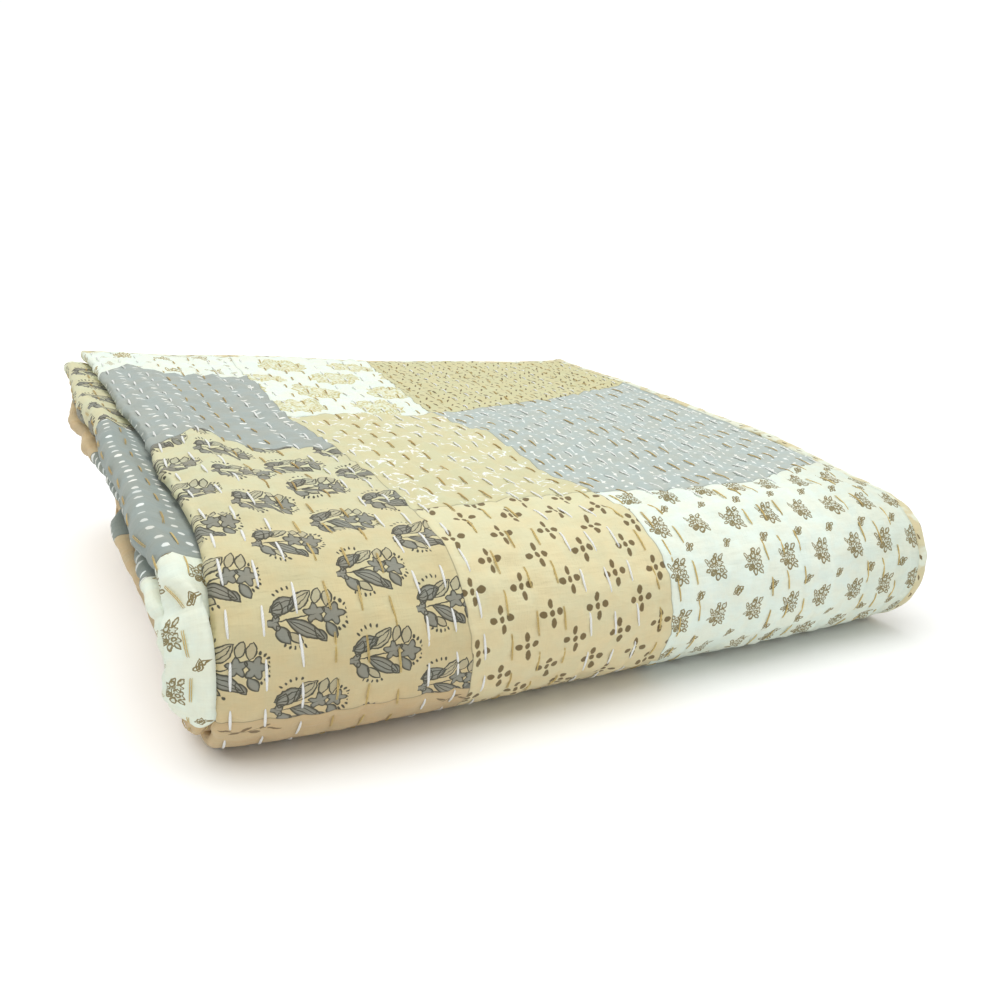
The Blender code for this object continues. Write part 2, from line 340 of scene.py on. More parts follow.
# Lengthwise seams of each column of patches: end s in mm and the print up to it
hiddenPatches = [(1250, "vineBand"), (1310, "greyTick"), (1600, "vineBand")]
columnPatches = {
    "right": [(172, "tanDash"), (329, "greyDot"), (900, "whiteFloral"), (1600, "tanDash")],
    "middle": [(172, "whiteBloom"), (329, "tanBrush"), (900, "beigeDot"), (1600, "greyTick")],
    "left": [(75, "whiteSprig"), (236, "greyTick"), (430, "beigePalm"), *hiddenPatches],
    "roll": [(180, "beigePalm"), (352, "greyTick"), (440, "whiteFloral"), (1600, "vineBand")],
    "lower": [(180, "vineBand"), (346, "greyTick"), (440, "whiteSprig"), *hiddenPatches],
}
columnPatches["between"] = columnPatches["lower"]
printNames = ["whiteSprig", "greyTick", "beigePalm", "vineBand", "whiteBloom", "tanBrush",
              "beigeDot", "tanDash", "greyDot", "whiteFloral", "backing"]


# Smooth random field: lattice values blended with eased weights
def softNoise(x, y, cellX, cellY, seed):
    table = np.random.default_rng(seed).uniform(-1, 1, (257, 257))
    gx, gy = x / cellX, y / cellY
    ix, iy = np.floor(gx).astype(int), np.floor(gy).astype(int)
    fx, fy = gx - ix, gy - iy
    fx, fy = fx * fx * (3 - 2 * fx), fy * fy * (3 - 2 * fy)
    a, b = ix % 256, iy % 256
    low = table[a, b] * (1 - fx) + table[a + 1, b] * fx
    high = table[a, b + 1] * (1 - fx) + table[a + 1, b + 1] * fx
    return low * (1 - fy) + high * fy


# Creases: x, s, run angle from +x (deg), length, width, height (mm)
creases = [
    (-11, 378, 10, 26, 4.4, -2.4), (-11, 362, 6, 24, 16.0, 1.2), (-12, 96, -10, 20, 5.0, -2.4),
    (-14, 168, 10, 26, 5.0, -1.8), (-13, 156, -6, 24, 7.0, 1.6), (-10, 288, -24, 26, 5.0, -1.8),
    (2, 246, 12, 20, 4.6, -1.5), (3, 266, -8, 22, 5.0, -1.6), (2, 285, 10, 18, 4.4, -1.3),
    (3, 304, -14, 22, 5.0, -1.7), (2, 325, 8, 20, 5.0, -1.4), (4, 347, -10, 24, 5.4, -1.5),
    (2, 372, 12, 18, 5.0, -1.1), (3, 222, -10, 20, 4.6, -1.2), (3, 196, 8, 18, 4.6, -1.0),
    (14, 30, 60, 26, 5.0, -1.4), (30, 22, -50, 24, 5.0, 1.3), (24, 52, 70, 22, 4.6, -1.2),
    (8, 60, -60, 22, 5.0, 1.2), (60, 26, 70, 24, 5.0, -1.3), (84, 40, -70, 26, 5.0, 1.2),
    (48, 50, -76, 20, 4.4, -1.1), (112, 60, 80, 30, 5.0, -1.2), (-13, 70, 12, 16, 5.0, -1.6),
    (-12, 130, 14, 18, 8.0, -1.2), (-9, 250, 18, 18, 9.0, -1.0), (30, 268, 4, 34, 7.0, -0.9),
    (46, 318, -3, 40, 8.0, -0.8), (14, 342, 6, 26, 6.0, -0.9), (120, 340, 3, 60, 9.0, 0.7),
    (250, 352, -4, 80, 10.0, 0.8), (310, 372, 10, 50, 8.0, -0.7), (160, 250, 20, 60, 12.0, 0.7),
    (280, 230, -12, 80, 14.0, 0.8), (70, 400, -6, 50, 8.0, 0.6), (210, 300, 80, 60, 10.0, -0.7),
    (96, 410, 84, 50, 7.0, -0.7),
]


# Relief of the outer face in metres: a valley on each stitch row, deepest where the
# needle goes in, puffs between rows, fine puckers across them, slow wrinkles, creases
def relief(u, v, x):
    pitch = stitching["rowPitch"]
    row = np.floor(u / pitch)
    offset = np.abs(u / pitch - row - 0.5) * pitch
    phase = 2 * math.pi * (v / stitching["period"] + rowShift(row))
    pull = 0.70 + 0.30 * np.cos(2 * phase)
    height = -reliefOf["valley"] * bell(offset, 0, reliefOf["valleyReach"]) * pull
    loose = 1 - 0.65 * bell(offset, 0, 3.0 * mm)
    for kind, share in (("puff", loose), ("pucker", loose), ("wrinkle", 1)):
        high, cellX, cellY, seed = reliefOf[kind]
        height = height + high * softNoise(u, v, cellX * mm, cellY * mm, seed) * share
    for cx, cs, angle, length, width, high in creases:
        c, n = math.cos(math.radians(angle)), math.sin(math.radians(angle))
        du, dv = x - cx * mm, v - cs * mm
        along, across = du * c + dv * n, dv * c - du * n
        height = height + high * mm * bell(along, 0, length * mm / 1.6) * bell(across, 0, width * mm / 2)
    return height


# Start of each stitch row as a share of the period, scattered by a steep sine
def rowShift(row):
    return np.modf(np.abs(np.sin(row * 12.9898 + 4.1) * 43758.5453))[0]


# Unit normals of a grid of points, from the differences along its two directions
def gridNormals(points):
    along = np.gradient(points, axis=0)
    across = np.gradient(points, axis=1)
    normal = np.cross(across, along)
    return normal / np.maximum(np.linalg.norm(normal, axis=-1, keepdims=True), 1e-12)


# Grid lines between stops, each stretch with its own size of cell
def cellsBetween(stops, sizes):
    stretches = zip(stops, stops[1:], sizes)
    parts = [np.linspace(a, b, max(1, round((b - a) / size)) + 1)[:-1] for a, b, size in stretches]
    return np.concatenate(parts + [[stops[-1]]])


print("quilt: folding the cloth")
startS = fold["binding"] + fold["seat"]
seamStops = [startS, 0.075, 0.172, 0.180, 0.236, 0.329, topEnd, 0.346, 0.352, 0.430, 0.440, noseEnd,
             0.560, 0.680, bottomEnd, turnEnd, 1.0, innerBottomEnd, innerNoseEnd, 1.250, 1.310,
             pathEnd - startS]
hiddenSizes = [0.009, 0.015, 0.015, 0.0085, 0.03, 0.05, 0.0007, 0.008, 0.008, 0.022]
rowV = cellsBetween(seamStops, [patches["rowCells"]] * 11 + hiddenSizes)
lines, lineNormals, topCount = sectionAt(rowV)
rowCount, columnCount = lines.shape[:2]
topRows, crownRow = 60, 40  # rows averaged to measure the section, and one that shows the rolls
seenColumns = topCount + 5
nominalU = np.zeros(columnCount)
meanLine = lines[:topRows].mean(axis=0)
arc = runLength(meanLine)
nominalU[:topCount] = meanLine[:topCount, 0]
nominalU[topCount:] = nominalU[topCount - 1] - (arc[topCount:] - arc[topCount - 1])
gridU, gridV = np.meshgrid(nominalU, rowV)
seamA = patches["seamA"] * stitching["rowPitch"]
seamB = patches["seamB"] * stitching["rowPitch"]
clothU, clothV = warpGrid(gridU, gridV, seamA, seamB)
shiftX = np.where(gridU > 0, clothU - gridU, 0)
clothU = np.where(gridU > 0, clothU, gridU)

# On each roll the cloth is measured round that row's own section, from the roll's crown
rowSteps = np.linalg.norm(np.diff(lines, axis=1), axis=2)
rowArc = np.concatenate([np.zeros((rowCount, 1)), np.cumsum(rowSteps, axis=1)], axis=1)
for low, high in rollRanges.values():
    onRoll = np.flatnonzero((nominalU > low) & (nominalU < high))
    crown = onRoll[np.argmin(lines[crownRow, onRoll, 0])]
    clothU[:, onRoll] = nominalU[crown] - (rowArc[:, onRoll] - rowArc[:, crown:crown + 1])


def facePoints(side):
    x = lines[..., 0] + side * lineNormals[..., 0] * fold["cloth"] / 2 + shiftX
    depth = lines[..., 1] + side * lineNormals[..., 1] * fold["cloth"] / 2
    return place(x, depth, clothV)


outerFace, innerFace = facePoints(-1), facePoints(1)
outward = gridNormals(outerFace)
print("quilt: grid", rowCount, "x", columnCount)

# The relief shows only where the outer face is seen, and fades out towards the floor
rollX = lines[crownRow, :, 0]
reliefMask = reliefOf["rollShare"] * smooth(-rollX, 1 * mm, 5 * mm)
reliefMask[:seenColumns] = 1
clear = smooth(outerFace[..., 2], 2 * mm, 14 * mm)
outerRelief = relief(gridU, gridV, np.where(gridU > 0, clothU, lines[..., 0])) * reliefMask * clear
outerRelief = np.clip(outerRelief, reliefOf["deepest"], reliefOf["highest"])
outerRelief[:, 0] *= reliefOf["edgeShare"]
outerFace = outerFace + outward * outerRelief[..., None]


def addToScene(name, data):
    item = bpy.data.objects.new(name, data)
    bpy.context.scene.collection.objects.link(item)
    return item


def meshObject(name, points, faces, uv=None, smoothFaces=True):
    mesh = bpy.data.meshes.new(name)
    mesh.from_pydata(points.tolist(), [], faces)
    mesh.update()
    mesh.polygons.foreach_set("use_smooth", np.full(len(mesh.polygons), smoothFaces))
    if uv is not None:
        corner = np.empty(len(mesh.loops), dtype=np.int32)
        mesh.loops.foreach_get("vertex_index", corner)
        layer = mesh.uv_layers.new(name="clothMap")
        layer.data.foreach_set("uv", uv[corner].astype(np.float32).ravel())
    return addToScene(name, mesh)


def addValue(mesh, name, values):
    mesh.attributes.new(name, "FLOAT", "POINT").data.foreach_set("value", values.astype(np.float32).ravel())


def gridQuads(index):
    return np.stack([index[:-1, :-1], index[:-1, 1:], index[1:, 1:], index[1:, :-1]], axis=-1)


# Rim of two stacked grids: quads between their borders, wound outwards
def rimQuads(upper, lower):
    a, b = (np.concatenate([g[0, ::-1], g[1:, 0], g[-1, 1:], g[-2:0:-1, -1]]) for g in (upper, lower))
    return np.stack([a, b, np.roll(b, -1), np.roll(a, -1)], axis=-1)


# Which column of patches a place across the cloth is on
def patchColumn(u):
    if u > seamB:
        return "right"
    if u > seamA:
        return "middle"
    if u > patches["foldU"]:
        return "left"
    return next((name for name, (low, high) in rollRanges.items() if low < u < high), "between")


# The cloth: outer and inner faces on one grid, joined by a rim; each cell takes its print
# from its column and its s, and seamGap holds the distance to the nearest seam
def makeQuilt():
    index = np.arange(2 * rowCount * columnCount).reshape(2, rowCount, columnCount)
    outer = gridQuads(index[0])
    inner = gridQuads(index[1])[..., ::-1]
    rim = rimQuads(index[0], index[1])
    faces = np.concatenate([outer.reshape(-1, 4), inner.reshape(-1, 4), rim])
    points = np.concatenate([outerFace.reshape(-1, 3), innerFace.reshape(-1, 3)])
    uv = np.stack([clothU, clothV], axis=-1).reshape(-1, 2)
    piece = meshObject("quiltCloth", points, faces.tolist(), np.concatenate([uv, uv]))
    middleU = (nominalU[1:] + nominalU[:-1]) / 2
    middleV = (rowV[1:] + rowV[:-1]) / 2
    prints = np.zeros((rowCount - 1, columnCount - 1), dtype=int)
    seamGap = np.minimum(np.abs(gridU - seamA), np.abs(gridU - seamB))
    columns = [patchColumn(u) for u in middleU]
    for name, rows in columnPatches.items():
        mine = np.array([c == name for c in columns])
        stops = np.array([stop for stop, _ in rows]) * mm
        choice = np.array([printNames.index(kind) for _, kind in rows])
        prints[:, mine] = choice[np.searchsorted(stops, middleV)][:, None]
        touched = np.append(mine, False) | np.append(False, mine)
        for stop in stops[:-1]:
            seamGap[:, touched] = np.minimum(seamGap[:, touched], np.abs(gridV[:, touched] - stop))
    addValue(piece.data, "seamGap", np.tile(np.minimum(seamGap, 8 * mm).ravel(), 2))
    backing = printNames.index("backing")
    slots = np.concatenate([prints.ravel(), np.full(prints.size + len(rim), backing)])
    piece.data.polygons.foreach_set("material_index", slots.astype(np.int32))
    return piece


thread = {
    "white": {"wide": 0.00060, "high": 0.00040, "strands": 1, "apart": 0.0},
    "mustard": {"wide": 0.00021, "high": 0.00022, "strands": 2, "apart": 0.00022},
    "stations": (0, 0.10, 0.32, 0.62, 0.90, 1.0), "taper": (0.25, 0.70, 1.0, 1.0, 0.70, 0.25),
    "sides": 6, "bury": 0.0004, "lift": 0.00030, "arch": 0.00035, "taut": 0.5,
}


# Value of a field on the grid at fractional row and column numbers
def sampleGrid(field, row, column):
    i = np.clip(np.floor(row).astype(int), 0, field.shape[0] - 2)
    j = np.clip(np.floor(column).astype(int), 0, field.shape[1] - 2)
    a, b = (row - i)[..., None], (column - j)[..., None]
    top = field[i, j] * (1 - b) + field[i, j + 1] * b
    low = field[i + 1, j] * (1 - b) + field[i + 1, j + 1] * b
    return top * (1 - a) + low * a


# Stitches as rows of u, start s, length, slant, colour and shade: evenly spaced down each stitch row with a
# little jitter, in bands of white and mustard rows; the shade is painted shade, darker over the top and paler
# down the front, with a random part per stitch
def stitchList():
    generator = np.random.default_rng(11)
    pitch, period, band = stitching["rowPitch"], stitching["period"], stitching["mustardRows"]
    shown = smooth(-rollX, 1 * mm, 3 * mm) > 0.5
    stitches = []
    for row in range(int(math.floor(nominalU.min() / pitch)), stitching["rows"]):
        u = (row + 0.5) * pitch
        column = int(np.argmin(np.abs(nominalU - u)))
        onTop = column < seenColumns
        if not onTop and not shown[column]:
            continue
        shift = float(rowShift(np.array(float(row))))
        lastS = turnEnd if onTop else noseEnd + stitching["hiddenRun"]
        for number in range(int(lastS / period) + 1):
            jitter = generator.uniform(-1, 1, 6)
            startS = (number + shift) * period + stitching["startJitter"] * jitter[0]
            share = np.interp(startS, stitching["lengthS"], stitching["lengthShare"])
            length = stitching["stitch"] * (1 + stitching["lengthJitter"] * jitter[1]) * share
            if startS < stitching["firstS"] or startS + length > lastS - stitching["endGap"]:
                continue
            mustard = row % (2 * band) >= band
            if u > seamB and startS > stitching["frontSeam"] and not mustard:
                continue
            aside, slant = stitching["sideJitter"] * jitter[2], stitching["slant"] * jitter[3]
            # painted shade: stitches over the top darker, those down the front paler, plus a random part
            shade = stitching["topShade"] if startS < stitching["shadeS"] else stitching["frontShade"]
            shade = shade + stitching["shadeJitter"] * jitter[4]
            stitches.append((u + aside, startS, length, slant, mustard, shade))
    return np.array(stitches, dtype=float)


# Each stitch is a tube on the cloth: centre = surface + normal x lift, which dips into
# the cloth at both ends; ring = wide cos(a) across + high sin(a) up
def makeThreads(name, stitches, kind):
    shape, sides = thread[kind], thread["sides"]
    copies = np.repeat(stitches, shape["strands"], axis=0)
    strand = np.tile(np.arange(shape["strands"]) - (shape["strands"] - 1) / 2, len(stitches))
    t = np.array(thread["stations"])
    u = copies[:, 0:1] + strand[:, None] * shape["apart"] * 2 + copies[:, 3:4] * (t - 0.5) * 2
    v = copies[:, 1:2] + copies[:, 2:3] * t
    column = np.interp(-u, -nominalU, np.arange(columnCount))
    row = np.interp(v, rowV, np.arange(rowCount))
    surface = sampleGrid(outerFace, row, column)
    chord = surface[:, :1] + (surface[:, -1:] - surface[:, :1]) * t[None, :, None]
    surface = surface + (chord - surface) * thread["taut"]
    normal = sampleGrid(finalNormals, row, column)
    normal /= np.linalg.norm(normal, axis=-1, keepdims=True)
    along = np.gradient(surface, axis=1)
    along /= np.linalg.norm(along, axis=-1, keepdims=True)
    across = np.cross(along, normal)
    rise = np.where((t < 0.05) | (t > 0.95), -thread["bury"], thread["lift"])
    rise = rise + thread["arch"] * np.sin(math.pi * t)
    centre = surface + normal * rise[None, :, None]
    size = np.array(thread["taper"])[None, :, None, None]
    angle = np.arange(sides) * 2 * math.pi / sides
    ring = (across[:, :, None] * (shape["wide"] * np.cos(angle))[None, None, :, None]
            + normal[:, :, None] * (shape["high"] * np.sin(angle))[None, None, :, None])
    points = centre[:, :, None] + ring * size
    points[..., 2] = np.maximum(points[..., 2], 0.0)
    index = np.arange(points[..., 0].size).reshape(len(copies), len(t), sides)
    turned = np.roll(index, -1, axis=2)
    walls = np.stack([index[:, :-1], index[:, 1:], turned[:, 1:], turned[:, :-1]], axis=-1).reshape(-1, 4)
    caps = np.concatenate([index[:, 0], index[:, -1, ::-1]])
    uv = np.stack(np.broadcast_arrays(np.arange(sides) / sides, (copies[:, 2:3] * t)[:, :, None]), axis=-1)
    piece = meshObject(name, points.reshape(-1, 3), walls.tolist() + caps.tolist(), uv.reshape(-1, 2))
    addValue(piece.data, "shade", np.repeat(copies[:, 5], len(t) * sides))
    return piece


strip = {
    "half": 0.00385, "high": 0.00165, "sides": 12, "wave": 0.0010, "swell": 0.00045, "tuck": 0.0006,
    "wrap": 0.020, "endHigh": 0.00125, "endWave": 0.0002, "endSwell": 0.00012, "hiddenRun": 0.02,
}


# Rounded section of a folded strip: (cos, sin) drawn out to a flat oval
def stripRing():
    angle = np.arange(strip["sides"]) * 2 * math.pi / strip["sides"]
    c, s = np.cos(angle), np.sin(angle)
    return np.sign(c) * np.abs(c) ** 0.7, np.sign(s) * np.abs(s) ** 0.8


# Puckers of a strip along its length: width and height ripple between the stitches
def stripRipple(length, seed):
    wide = softNoise(length, length * 0, 6.0 * mm, 1, seed)
    high = softNoise(length, length * 0, 5.0 * mm, 1, seed + 1)
    return wide, high


def stripObject(name, points, length):
    rows, sides = points.shape[:2]
    index = np.arange(rows * sides).reshape(rows, sides)
    turned = np.roll(index, -1, axis=1)
    walls = np.stack([index[:-1], turned[:-1], turned[1:], index[1:]], axis=-1).reshape(-1, 4)
    caps = [index[0, ::-1].tolist(), index[-1].tolist()]
    around = np.arange(sides) / sides * strip["wrap"]
    uv = np.stack(np.broadcast_arrays(around[None, :], length[:, None]), axis=-1).reshape(-1, 2)
    print(name, rows, "rings")
    return meshObject(name, points.reshape(-1, 3), walls.tolist() + caps, uv)


# Binding down a side edge: x = edge, depth follows the layer, carried along every s
def makeSideStrip(name, edgeX, layer, seed):
    s = cellsBetween([0.0, noseEnd, bottomEnd, turnEnd, innerBottomEnd, innerNoseEnd, pathEnd],
                     [0.0028, 0.008, 0.006, 0.03, 0.0007, 0.02])
    c, d = stripRing()
    wide, high = stripRipple(s, seed)
    seen = (s < noseEnd + strip["hiddenRun"])[:, None]
    half = strip["half"] + strip["wave"] * wide[:, None] * seen
    tall = strip["high"] + strip["swell"] * high[:, None] * seen
    x = edgeX - strip["half"] - strip["tuck"] * seen + half * c[None, :]
    droop = droopAt(s) if layer == 0 else 0
    past = smooth(x, fold["width"] - fold["edgeOverhang"], fold["width"])
    depth = layerDepth(layer) + droop * past - tall * d[None, :]
    depth = depth + 0.5 * mm * (high * seen[:, 0])[:, None] * smooth(c, -1, 1)[None, :]
    depth = np.maximum(depth, 0.05 * mm)
    return stripObject(name, place(x, depth, np.broadcast_to(s[:, None], x.shape)), s)


# Binding along a cut end, through all six layers of the section line
def makeEndStrip(name, endS, inwardStep, seed):
    line, normal, _ = sectionAt(np.array([endS]))
    line, normal = line[0], normal[0]
    keep = np.ones(len(line), dtype=bool)
    keep[1:topCount - 1] = np.arange(1, topCount - 1) % 2 == 0
    line, normal = line[keep], normal[keep]
    length = runLength(line)
    c, d = stripRing()
    wide, high = stripRipple(length, seed)
    half = strip["half"] - 0.1 * mm + strip["endWave"] * wide[:, None]
    tall = strip["endHigh"] + strip["endSwell"] * high[:, None]
    s = endS + inwardStep * (strip["half"] - half * c[None, :])
    x = line[:, :1] - normal[:, :1] * tall * d[None, :]
    depth = line[:, 1:] - normal[:, 1:] * tall * d[None, :]
    return stripObject(name, place(x, depth, s), length)


# Linear colour from red, green and blue of 0 to 255
def linear(r, g, b):
    return tuple(((c / 255 + 0.055) / 1.055) ** 2.4 if c > 10 else c / 3294 for c in (r, g, b)) + (1.0,)


# A wire in a node tree: sums, differences, products and quotients of wires add Math nodes
class Wire:
    def __init__(self, sketch, socket):
        self.sketch, self.socket = sketch, socket

    def __add__(self, other):
        return self.sketch.calc("ADD", self, other)

    def __sub__(self, other):
        return self.sketch.calc("SUBTRACT", self, other)

    def __rsub__(self, other):
        return self.sketch.calc("SUBTRACT", other, self)

    def __mul__(self, other):
        return self.sketch.calc("MULTIPLY", self, other)

    def __truediv__(self, other):
        return self.sketch.calc("DIVIDE", self, other)

    __radd__, __rmul__ = __add__, __mul__


# Adds nodes to one tree: values feed a node's inputs in order, and None skips one
class Sketch:
    def __init__(self, tree):
        self.tree = tree

    def feed(self, socket, value):
        if isinstance(value, Wire):
            self.tree.links.new(value.socket, socket)
        elif value is not None:
            socket.default_value = value

    def add(self, kind, *values, out=0, **settings):
        node = self.tree.nodes.new("ShaderNode" + kind)
        for name, value in settings.items():
            setattr(node, name, value)
        for socket, value in zip(node.inputs, values):
            self.feed(socket, value)
        return Wire(self, node.outputs[out])

    def calc(self, operation, *values, clamp=False):
        return self.add("Math", *values, operation=operation, use_clamp=clamp)

    def split(self, point):
        node = self.add("SeparateXYZ", point).socket.node
        return Wire(self, node.outputs[0]), Wire(self, node.outputs[1])

    def join(self, x, y):
        return self.add("CombineXYZ", x, y)

    def mix(self, factor, a, b):
        return self.add("Mix", factor, *[None] * 5, a, b, out=2, data_type="RGBA")

    def scale(self, colour, factor):
        return self.add("VectorMath", colour, None, None, factor, operation="SCALE")

    def step(self, value, low, high):
        return self.add("MapRange", value, low, high, interpolation_type="SMOOTHSTEP")

    def noise(self, point, scale, detail=2.0):
        return self.add("TexNoise", point, None, scale, detail)

    def lowest(self, *values):
        return reduce(lambda a, b: self.calc("MINIMUM", a, b), values)

    def highest(self, *values):
        return reduce(lambda a, b: self.calc("MAXIMUM", a, b), values)

    def radius(self, a, b):
        return self.calc("SQRT", a * a + b * b)

    def group(self, tree, **values):
        node = self.tree.nodes.new("ShaderNodeGroup")
        node.node_tree = tree
        for name, value in values.items():
            self.feed(node.inputs[name], value)
        return [Wire(self, socket) for socket in node.outputs]


# A node group with named sockets: build(sketch, wires) gives its outputs by name
def makeGroup(name, inputs, outputs, build):
    tree = bpy.data.node_groups.new(name, "ShaderNodeTree")
    kinds = {"Point": "NodeSocketVector", "Local": "NodeSocketVector", "Colour": "NodeSocketColor"}
    for names, way in ((inputs, "INPUT"), (outputs, "OUTPUT")):
        for key in names:
            tree.interface.new_socket(key, in_out=way, socket_type=kinds.get(key, "NodeSocketFloat"))
    sketch = Sketch(tree)
    start, end = tree.nodes.new("NodeGroupInput"), tree.nodes.new("NodeGroupOutput")
    for key, wire in build(sketch, {key: Wire(sketch, start.outputs[key]) for key in inputs}).items():
        sketch.feed(end.inputs[key], wire)
    return tree


# Repeat: cell numbers from the floor of point / pitch, with every other column dropped
def buildRepeat(k, given):
    wobble = (k.noise(given["Point"], 420.0) - 0.5) * given["Wobble"]
    x, y = k.split(given["Point"])
    x = (x + wobble - given["Start X"]) / given["Pitch X"]
    column = k.calc("FLOOR", x)
    odd = k.calc("FLOORED_MODULO", column, 2.0)
    y = (y + wobble - given["Start Y"]) / given["Pitch Y"] + odd * given["Drop"]
    row = k.calc("FLOOR", y)
    local = k.join((x - column - 0.5) * given["Pitch X"], (0.5 - (y - row)) * given["Pitch Y"])
    seed = k.add("TexWhiteNoise", k.join(column, row), out="Value", noise_dimensions="2D")
    return {"Local": local, "Seed": seed}


# Axes of a shape at (X, Y) turned by Turn: a along it, b across it
def turned(k, given):
    x, y = k.split(given["Point"])
    dx, dy = x - given["X"], y - given["Y"]
    c, s = k.calc("COSINE", given["Turn"]), k.calc("SINE", given["Turn"])
    return dx * c + dy * s, dy * c - dx * s


# Leaf: |b| - width (1 - (a / length)^2), below zero inside
def buildLeaf(k, given):
    a, b = turned(k, given)
    part = a / given["Length"]
    return {"Field": k.calc("ABSOLUTE", b) - given["Width"] * (1.0 - part * part)}


# Oval: (sqrt((a / length)^2 + (b / width)^2) - 1) width
def buildOval(k, given):
    a, b = turned(k, given)
    return {"Field": (k.radius(a / given["Length"], b / given["Width"]) - 1.0) * given["Width"]}


# Flower: radius - size (1 + depth cos(petals x angle))
def buildFlower(k, given):
    a, b = turned(k, given)
    lobes = k.calc("COSINE", k.calc("ARCTAN2", b, a) * given["Petals"])
    return {"Field": k.radius(a, b) - given["Size"] * (lobes * given["Depth"] + 1.0)}


# Spray of dots on an arc: the angle snaps to the nearest dot, then an oval is drawn there
def buildSpray(k, given):
    a, b = turned(k, given)
    angle, radius = k.calc("ARCTAN2", b, a), k.radius(a, b)
    number = k.calc("ROUND", angle / given["Step"])
    number = k.lowest(k.highest(number, given["Reach"] * -1.0), given["Reach"])
    off = angle - number * given["Step"]
    out = (radius * k.calc("COSINE", off) - given["Size"]) / given["Length"]
    side = radius * k.calc("SINE", off) / given["Width"]
    return {"Field": (k.radius(out, side) - 1.0) * given["Width"]}


# Noise scales are per metre of cloth, heights in mm and the seam's reach in metres
weave = {
    "yarn": 1500.0, "slub": 150.0, "pucker": (95.0, 330.0), "crinkle": (230.0, 150.0),
    "cloud": 38.0, "cloudDepth": 0.10, "stain": 90.0, "cool": (0.985, 1.01, 1.03, 1),
    "warm": (1.015, 0.985, 0.955, 1), "seamLine": (0.00012, 0.00045), "seamShade": 0.62,
    "grooveReach": 0.0016, "groove": 0.35, "yarnHeight": 0.10, "crinkleHeight": 0.25,
}


# Woven cotton: tone = 1 + slubby threads both ways + cloud + crinkle, darkened at a seam as painted shade in
# its groove;
# height = threads + puckers across the rows + crinkle + the step beside a seam
def buildWeave(k, given):
    x, y = k.split(given["Point"])

    def stretched(perX, perY, detail):
        return k.noise(k.join(x * perX, y * perY), 1.0, detail)

    yarn, slub = weave["yarn"], weave["slub"]
    threads = stretched(yarn, slub, 1.0) + stretched(slub, yarn, 1.0) - 1.0
    crinkle = stretched(*weave["crinkle"], 3.0)
    cloud = k.noise(given["Point"], weave["cloud"], 3.0) - 0.5
    tone = threads * given["Slub"] + cloud * weave["cloudDepth"] + (crinkle - 0.5) * given["Slub"] + 1.0
    # painted shade: a thin dark line along each seam
    tone = tone * (k.step(given["Seam"], *weave["seamLine"]) * (1 - weave["seamShade"]) + weave["seamShade"])
    stain = k.step(k.noise(given["Point"], weave["stain"], 3.0), 0.35, 0.65)
    tint = k.mix(stain, weave["cool"], weave["warm"])
    tinted = k.add("VectorMath", given["Colour"], tint, operation="MULTIPLY")
    height = threads * weave["yarnHeight"] + stretched(*weave["pucker"], 2.0) * given["Pucker"]
    height = height + crinkle * weave["crinkleHeight"]
    height = height + k.step(given["Seam"], 0.0, weave["grooveReach"]) * weave["groove"]
    return {"Colour": k.scale(tinted, tone), "Height": height}


repeatGroup = makeGroup(
    "half drop repeat", ["Point", "Pitch X", "Pitch Y", "Start X", "Start Y", "Drop", "Wobble"],
    ["Local", "Seed"], buildRepeat)
weaveGroup = makeGroup(
    "stitched cotton", ["Colour", "Point", "Seam", "Slub", "Pucker"], ["Colour", "Height"], buildWeave)
shapeKinds = {
    "leaf": (["Length", "Width"], buildLeaf), "oval": (["Length", "Width"], buildOval),
    "flower": (["Size", "Petals", "Depth"], buildFlower),
    "spray": (["Size", "Step", "Reach", "Length", "Width"], buildSpray),
}
shapeGroups = {
    kind: makeGroup("block print " + kind, ["Point", "X", "Y", "Turn"] + sizes, ["Field"], build)
    for kind, (sizes, build) in shapeKinds.items()
}

inks = {
    # The white ground's roll and low copies are painted shade, not colours of the cloth
    "white": (243, 252, 239), "whiteRollShade": (243, 250, 233), "whiteLowShade": (220, 227, 209),
    # The grey ground's roll and low copies are painted shade, not colours of the cloth
    "grey": (174, 182, 176), "greyRollShade": (159, 168, 162), "greyLowShade": (142, 150, 142),
    # beigeTop and creamTop against beige and cream are lit and shaded copies of one ground: painted light and
    # shade
    "greyLight": (190, 200, 194), "beigeTop": (222, 219, 181), "beige": (223, 210, 164),
    "creamTop": (230, 229, 190), "cream": (236, 225, 182), "tan": (222, 217, 175),
    # peach is the band's print colour, darkened as painted shade where the band turns under; it is also the
    # painted warm shade low on the front
    "brownTan": (218, 213, 168), "peach": (210, 186, 144), "charcoal": (84, 82, 70),
    "greyCore": (150, 149, 136), "greyEdge": (114, 112, 99), "brown": (126, 108, 72),
    "floral": (143, 129, 86), "darkBrown": (114, 96, 60), "gold": (226, 220, 166),
    "goldLine": (204, 192, 126), "sprig": (176, 160, 112), "whitePrint": (252, 254, 248),
    "backing": (226, 212, 174), "vine": (112, 92, 62), "bindingTan": (224, 213, 172),
    # The darker thread tones that the painted shade and the random tone mix in
    "bindingWhite": (238, 242, 222), "whiteThread": (254, 254, 252), "whiteShade": (250, 251, 246),
    "mustardThread": (238, 212, 138), "mustardShade": (200, 168, 98),
}
inks = {name: linear(*rgb) for name, rgb in inks.items()}

